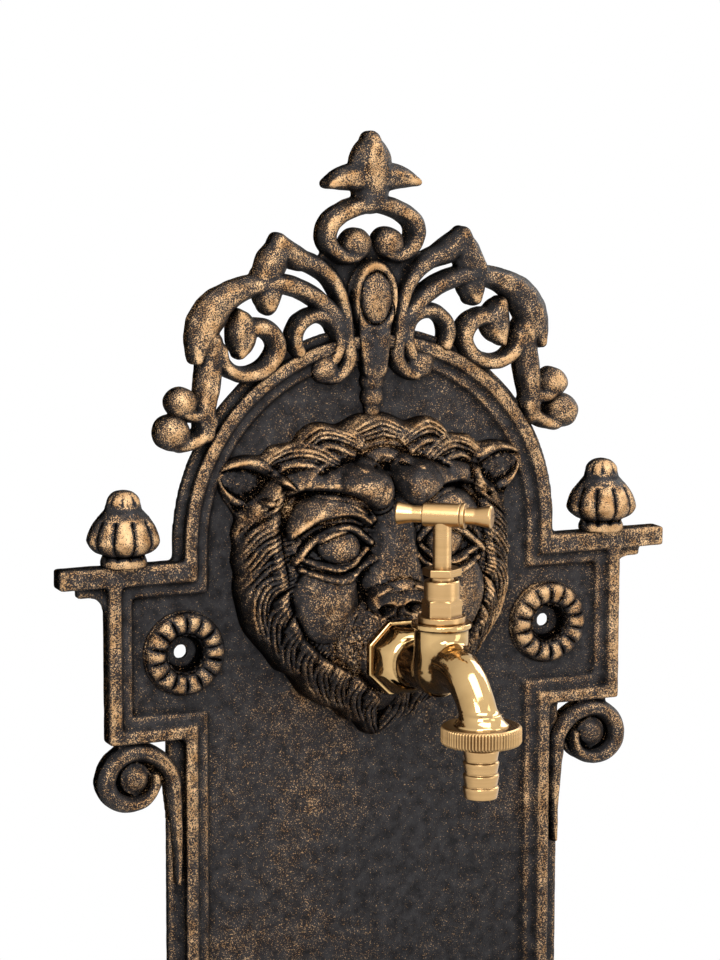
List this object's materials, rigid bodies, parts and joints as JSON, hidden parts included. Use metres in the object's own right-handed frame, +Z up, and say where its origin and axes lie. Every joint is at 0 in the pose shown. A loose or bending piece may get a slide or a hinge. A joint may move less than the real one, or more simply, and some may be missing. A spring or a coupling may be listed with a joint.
{
  "type": "garden wall fountain",
  "caption": "Cast iron wall fountain with a pierced crest, a lion mask, a brass garden tap with a T handle and a half-round basin.",
  "frame": {"origin": "on the wall plane, midway between the two wall screw holes in the rosettes", "axes": "+Y into the wall, +Z up, so the front faces -Y"},
  "size_m": [0.329, 0.225, 0.6826],
  "materials": {
    "bronzed_iron": "charcoal paint with rubbed bronze on the raised forms",
    "brass": "polished and fine turned",
    "rubber": "matt black",
    "packing": "graphited packing",
    "steel": "zinc plated"
  },
  "bodies": {
    "fountain": {"back_panel": "bronzed_iron", "crest": "bronzed_iron", "lion_mask": "bronzed_iron", "basin": "bronzed_iron", "rosette_left": "bronzed_iron", "rosette_right": "bronzed_iron", "finial_left": "bronzed_iron", "finial_right": "bronzed_iron", "volute_left": "bronzed_iron", "volute_right": "bronzed_iron", "tap_body": "brass", "bonnet": "brass", "gland_nut": "brass", "back_nut": "brass", "inlet_adapter": "brass", "drain_strainer": "brass", "drain_locknut": "brass", "drain_tail": "brass", "sealing_washer": "rubber", "drain_gasket": "rubber", "gland_packing": "packing", "mask_screw_upper_left": "steel", "mask_screw_upper_right": "steel", "mask_screw_lower_left": "steel", "mask_screw_lower_right": "steel", "basin_bolt_upper_left": "steel", "basin_bolt_upper_right": "steel", "basin_bolt_lower_left": "steel", "basin_bolt_lower_right": "steel", "basin_nut_upper_left": "steel", "basin_nut_upper_right": "steel", "basin_nut_lower_left": "steel", "basin_nut_lower_right": "steel", "crest_screw_left": "steel", "crest_screw_right": "steel"},
    "valve": {"jumper_valve": "brass", "valve_washer": "rubber"},
    "handle": {"spindle": "brass", "handle_hub": "brass", "handle_end_left": "brass", "handle_end_right": "brass"},
    "tail": {"hose_tail": "brass", "coupling_washer": "rubber"},
    "nut": {"coupling_nut": "brass"}
  },
  "joints": [
    {"name": "valve_lift", "type": "slide", "parent": "fountain", "child": "valve", "axis": [0, 0, 1], "range_m": [0, 0.00376]},
    {"name": "handle_turn", "type": "hinge", "parent": "valve", "child": "handle", "pos_m": [0, -0.092, 0], "axis": [0, 0, 1], "range_deg": [0, 540]},
    {"name": "tail_drop", "type": "slide", "parent": "fountain", "child": "tail", "axis": [0, 0, -1], "range_m": [0, 0.00454]},
    {"name": "nut_turn", "type": "hinge", "parent": "tail", "child": "nut", "pos_m": [0, -0.1365, 0], "axis": [0, 0, -1], "range_deg": [0, 900]}
  ],
  "couplings": [
    {"joint": "valve_lift", "follows": "handle_turn", "m_per_rad": 0.00039789},
    {"joint": "tail_drop", "follows": "nut_turn", "m_per_rad": 0.00028871}
  ]
}
